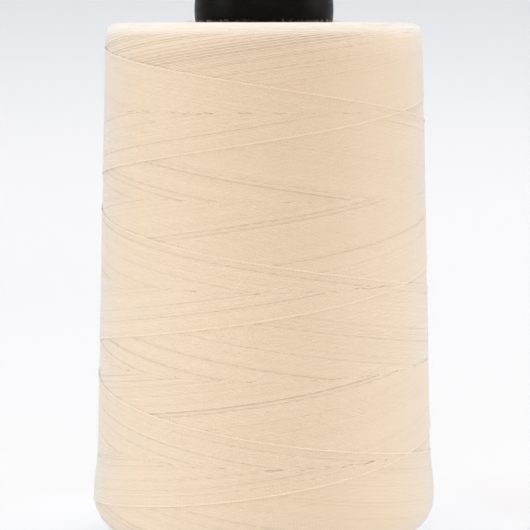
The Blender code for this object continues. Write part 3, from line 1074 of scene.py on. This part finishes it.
# Softboxes: name, place and aim in metres, size across and up, power in watts, and tint.
MIDDLE = (0.0, 0.0, 0.075)
WHITE = (1.0, 1.0, 1.0)
SOFTBOXES = (
    ("left", (-0.93, -0.28, 0.42), MIDDLE, (0.5, 0.56), 3.05, (0.84, 0.94, 1.0)),
    ("right", (0.95, 0.06, 0.42), MIDDLE, (0.6, 0.56), 2.8, (0.97, 1.0, 1.0)),
    ("overhead", (0.0, 0.15, 2.2), (0.0, 0.0, 0.0), (2.3, 2.3), 26.5, WHITE),
    ("front", (0.0, -1.05, 0.65), MIDDLE, (1.2, 0.7), 2.65, (1.0, 0.93, 0.79)),
    ("backdrop", (0.0, 0.9, 1.2), (0.0, 1.8, 0.0), (1.6, 0.5), 3.0, WHITE),
)
WORLD_COLOUR = (0.95, 0.97, 1.0, 1.0)
WORLD_STRENGTH = 0.49


def make_camera():
    """Camera level with the top of the thread, tilted a little down."""
    data = bpy.data.cameras.new("camera")
    data.sensor_width = SENSOR_MM
    data.lens = FOCAL_PX / FRAME_PX * SENSOR_MM
    data.clip_start = CAMERA_NEAR
    data.clip_end = CAMERA_FAR
    camera = bpy.data.objects.new("camera", data)
    bpy.context.scene.collection.objects.link(camera)
    camera.location = (CAMERA_ASIDE, -CAMERA_DISTANCE, PACKAGE_TOP * MM - CAMERA_BELOW_TOP)
    camera.rotation_euler = (math.radians(90 - CAMERA_TILT_DEG), 0.0, 0.0)
    bpy.context.scene.camera = camera


def add_softbox(name, place, aim, size, power, tint):
    """Rectangular light at a place, turned to its aim, that the camera doesn't see."""
    data = bpy.data.lights.new(name, "AREA")
    data.shape = "RECTANGLE"
    data.size, data.size_y = size
    data.energy = power
    data.color = tint
    light = bpy.data.objects.new(name, data)
    bpy.context.scene.collection.objects.link(light)
    light.location = place
    light.rotation_euler = (Vector(aim) - Vector(place)).to_track_quat("-Z", "Y").to_euler()
    light.visible_camera = False


def make_sweep():
    """Pale floor that curves up all round into a plain wall; painted shade darkens it upwards and painted
    light pales it round the cone.
    """
    outline = [(0.0, 0.0), (FLOOR_RADIUS, 0.0)]
    outline += arc((FLOOR_RADIUS, SWEEP_RADIUS), SWEEP_RADIUS, -90, 0, SWEEP_STEPS)[1:]
    outline.append((FLOOR_RADIUS + SWEEP_RADIUS, WALL_TOP))
    shape = turned(outline, SWEEP_SEGMENTS, closed=False)
    if sum(face.normal.z for face in shape.faces) < 0:
        bmesh.ops.reverse_faces(shape, faces=shape.faces)
    sweep = new_object("sweep", shape)
    sweep.data.shade_smooth()
    paper, shader, nodes = new_material("pale_paper")
    place = nodes.separate(nodes.add("ShaderNodeTexCoord").outputs["Object"])
    # Painted shade darkens the paper up the wall.
    wall_shaded = nodes.mix(nodes.ramp(place.outputs["Z"], 0.0, WALL_SHADE_CLIMB), FLOOR_COLOUR, SHADED_WALL_COLOUR)
    # Painted light makes the paper paler round the cone, against the cone's shadow.
    outer, inner = PAINTED_LIGHT_RADII
    painted_light = nodes.ramp(nodes.from_axis(place), outer ** 2, inner ** 2)
    nodes.feed(shader.inputs["Base Color"], nodes.mix(painted_light, wall_shaded, PAINTED_LIGHT_COLOUR))
    shader.inputs["Roughness"].default_value = 0.95
    shader.inputs["Specular IOR Level"].default_value = 0.1
    sweep.data.materials.append(paper)


def make_lights():
    """Softboxes at both sides, overhead, high in front and on the backdrop, and a pale world."""
    for softbox in SOFTBOXES:
        add_softbox(*softbox)
    world = bpy.data.worlds.new("studio")
    world.use_nodes = True
    world.node_tree.nodes["Background"].inputs["Color"].default_value = WORLD_COLOUR
    world.node_tree.nodes["Background"].inputs["Strength"].default_value = WORLD_STRENGTH
    bpy.context.scene.world = world
    bpy.context.scene.view_settings.view_transform = "Standard"


def main():
    """Build the studio, the tube and the thread."""
    make_camera()
    make_sweep()
    make_lights()
    plastic = plastic_material()
    make_tube(plastic)
    make_ribs(plastic)
    make_thread()


main()
